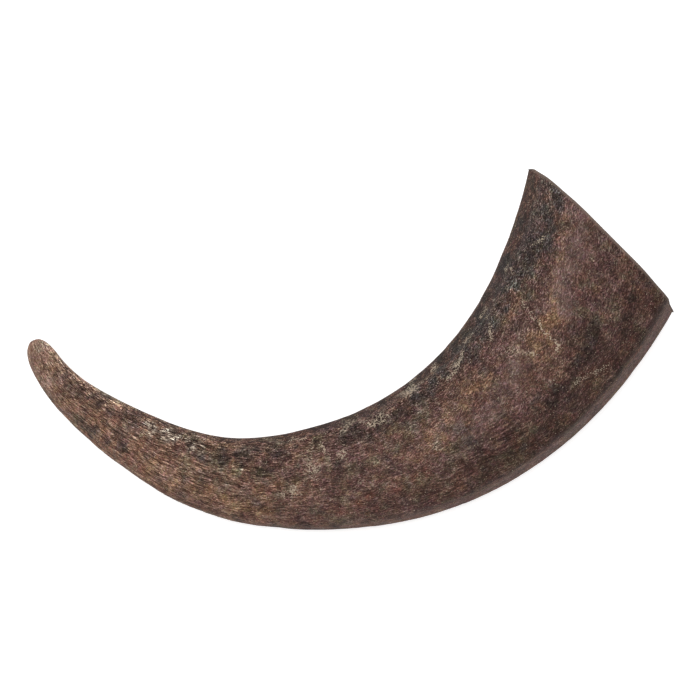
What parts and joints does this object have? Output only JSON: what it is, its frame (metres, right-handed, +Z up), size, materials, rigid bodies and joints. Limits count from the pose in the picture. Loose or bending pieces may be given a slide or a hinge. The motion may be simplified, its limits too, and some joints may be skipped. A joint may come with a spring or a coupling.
{
  "type": "water buffalo horn",
  "caption": "Raw, curved water buffalo horn with a blunt tip, a keel along the outer curve, a sawn base and a hollow inside; lies on its broad side.",
  "frame": {"origin": "middle of the horn's box seen from above, at the height of the surface that it lies on", "axes": "+X from the blunt tip towards the sawn base, +Z up through the horn's broad sides, +Y from the outer curve towards the inner curve"},
  "size_m": [0.2516, 0.141, 0.0492],
  "materials": {
    "horn_keratin": "dull weathered brown horn, mottled with grey-black, ochre and pale beige flakes, with fine lengthwise fibres; smoother and darker on the sawn face"
  },
  "bodies": {
    "root": {"horn": "horn_keratin"}
  },
  "joints": []
}
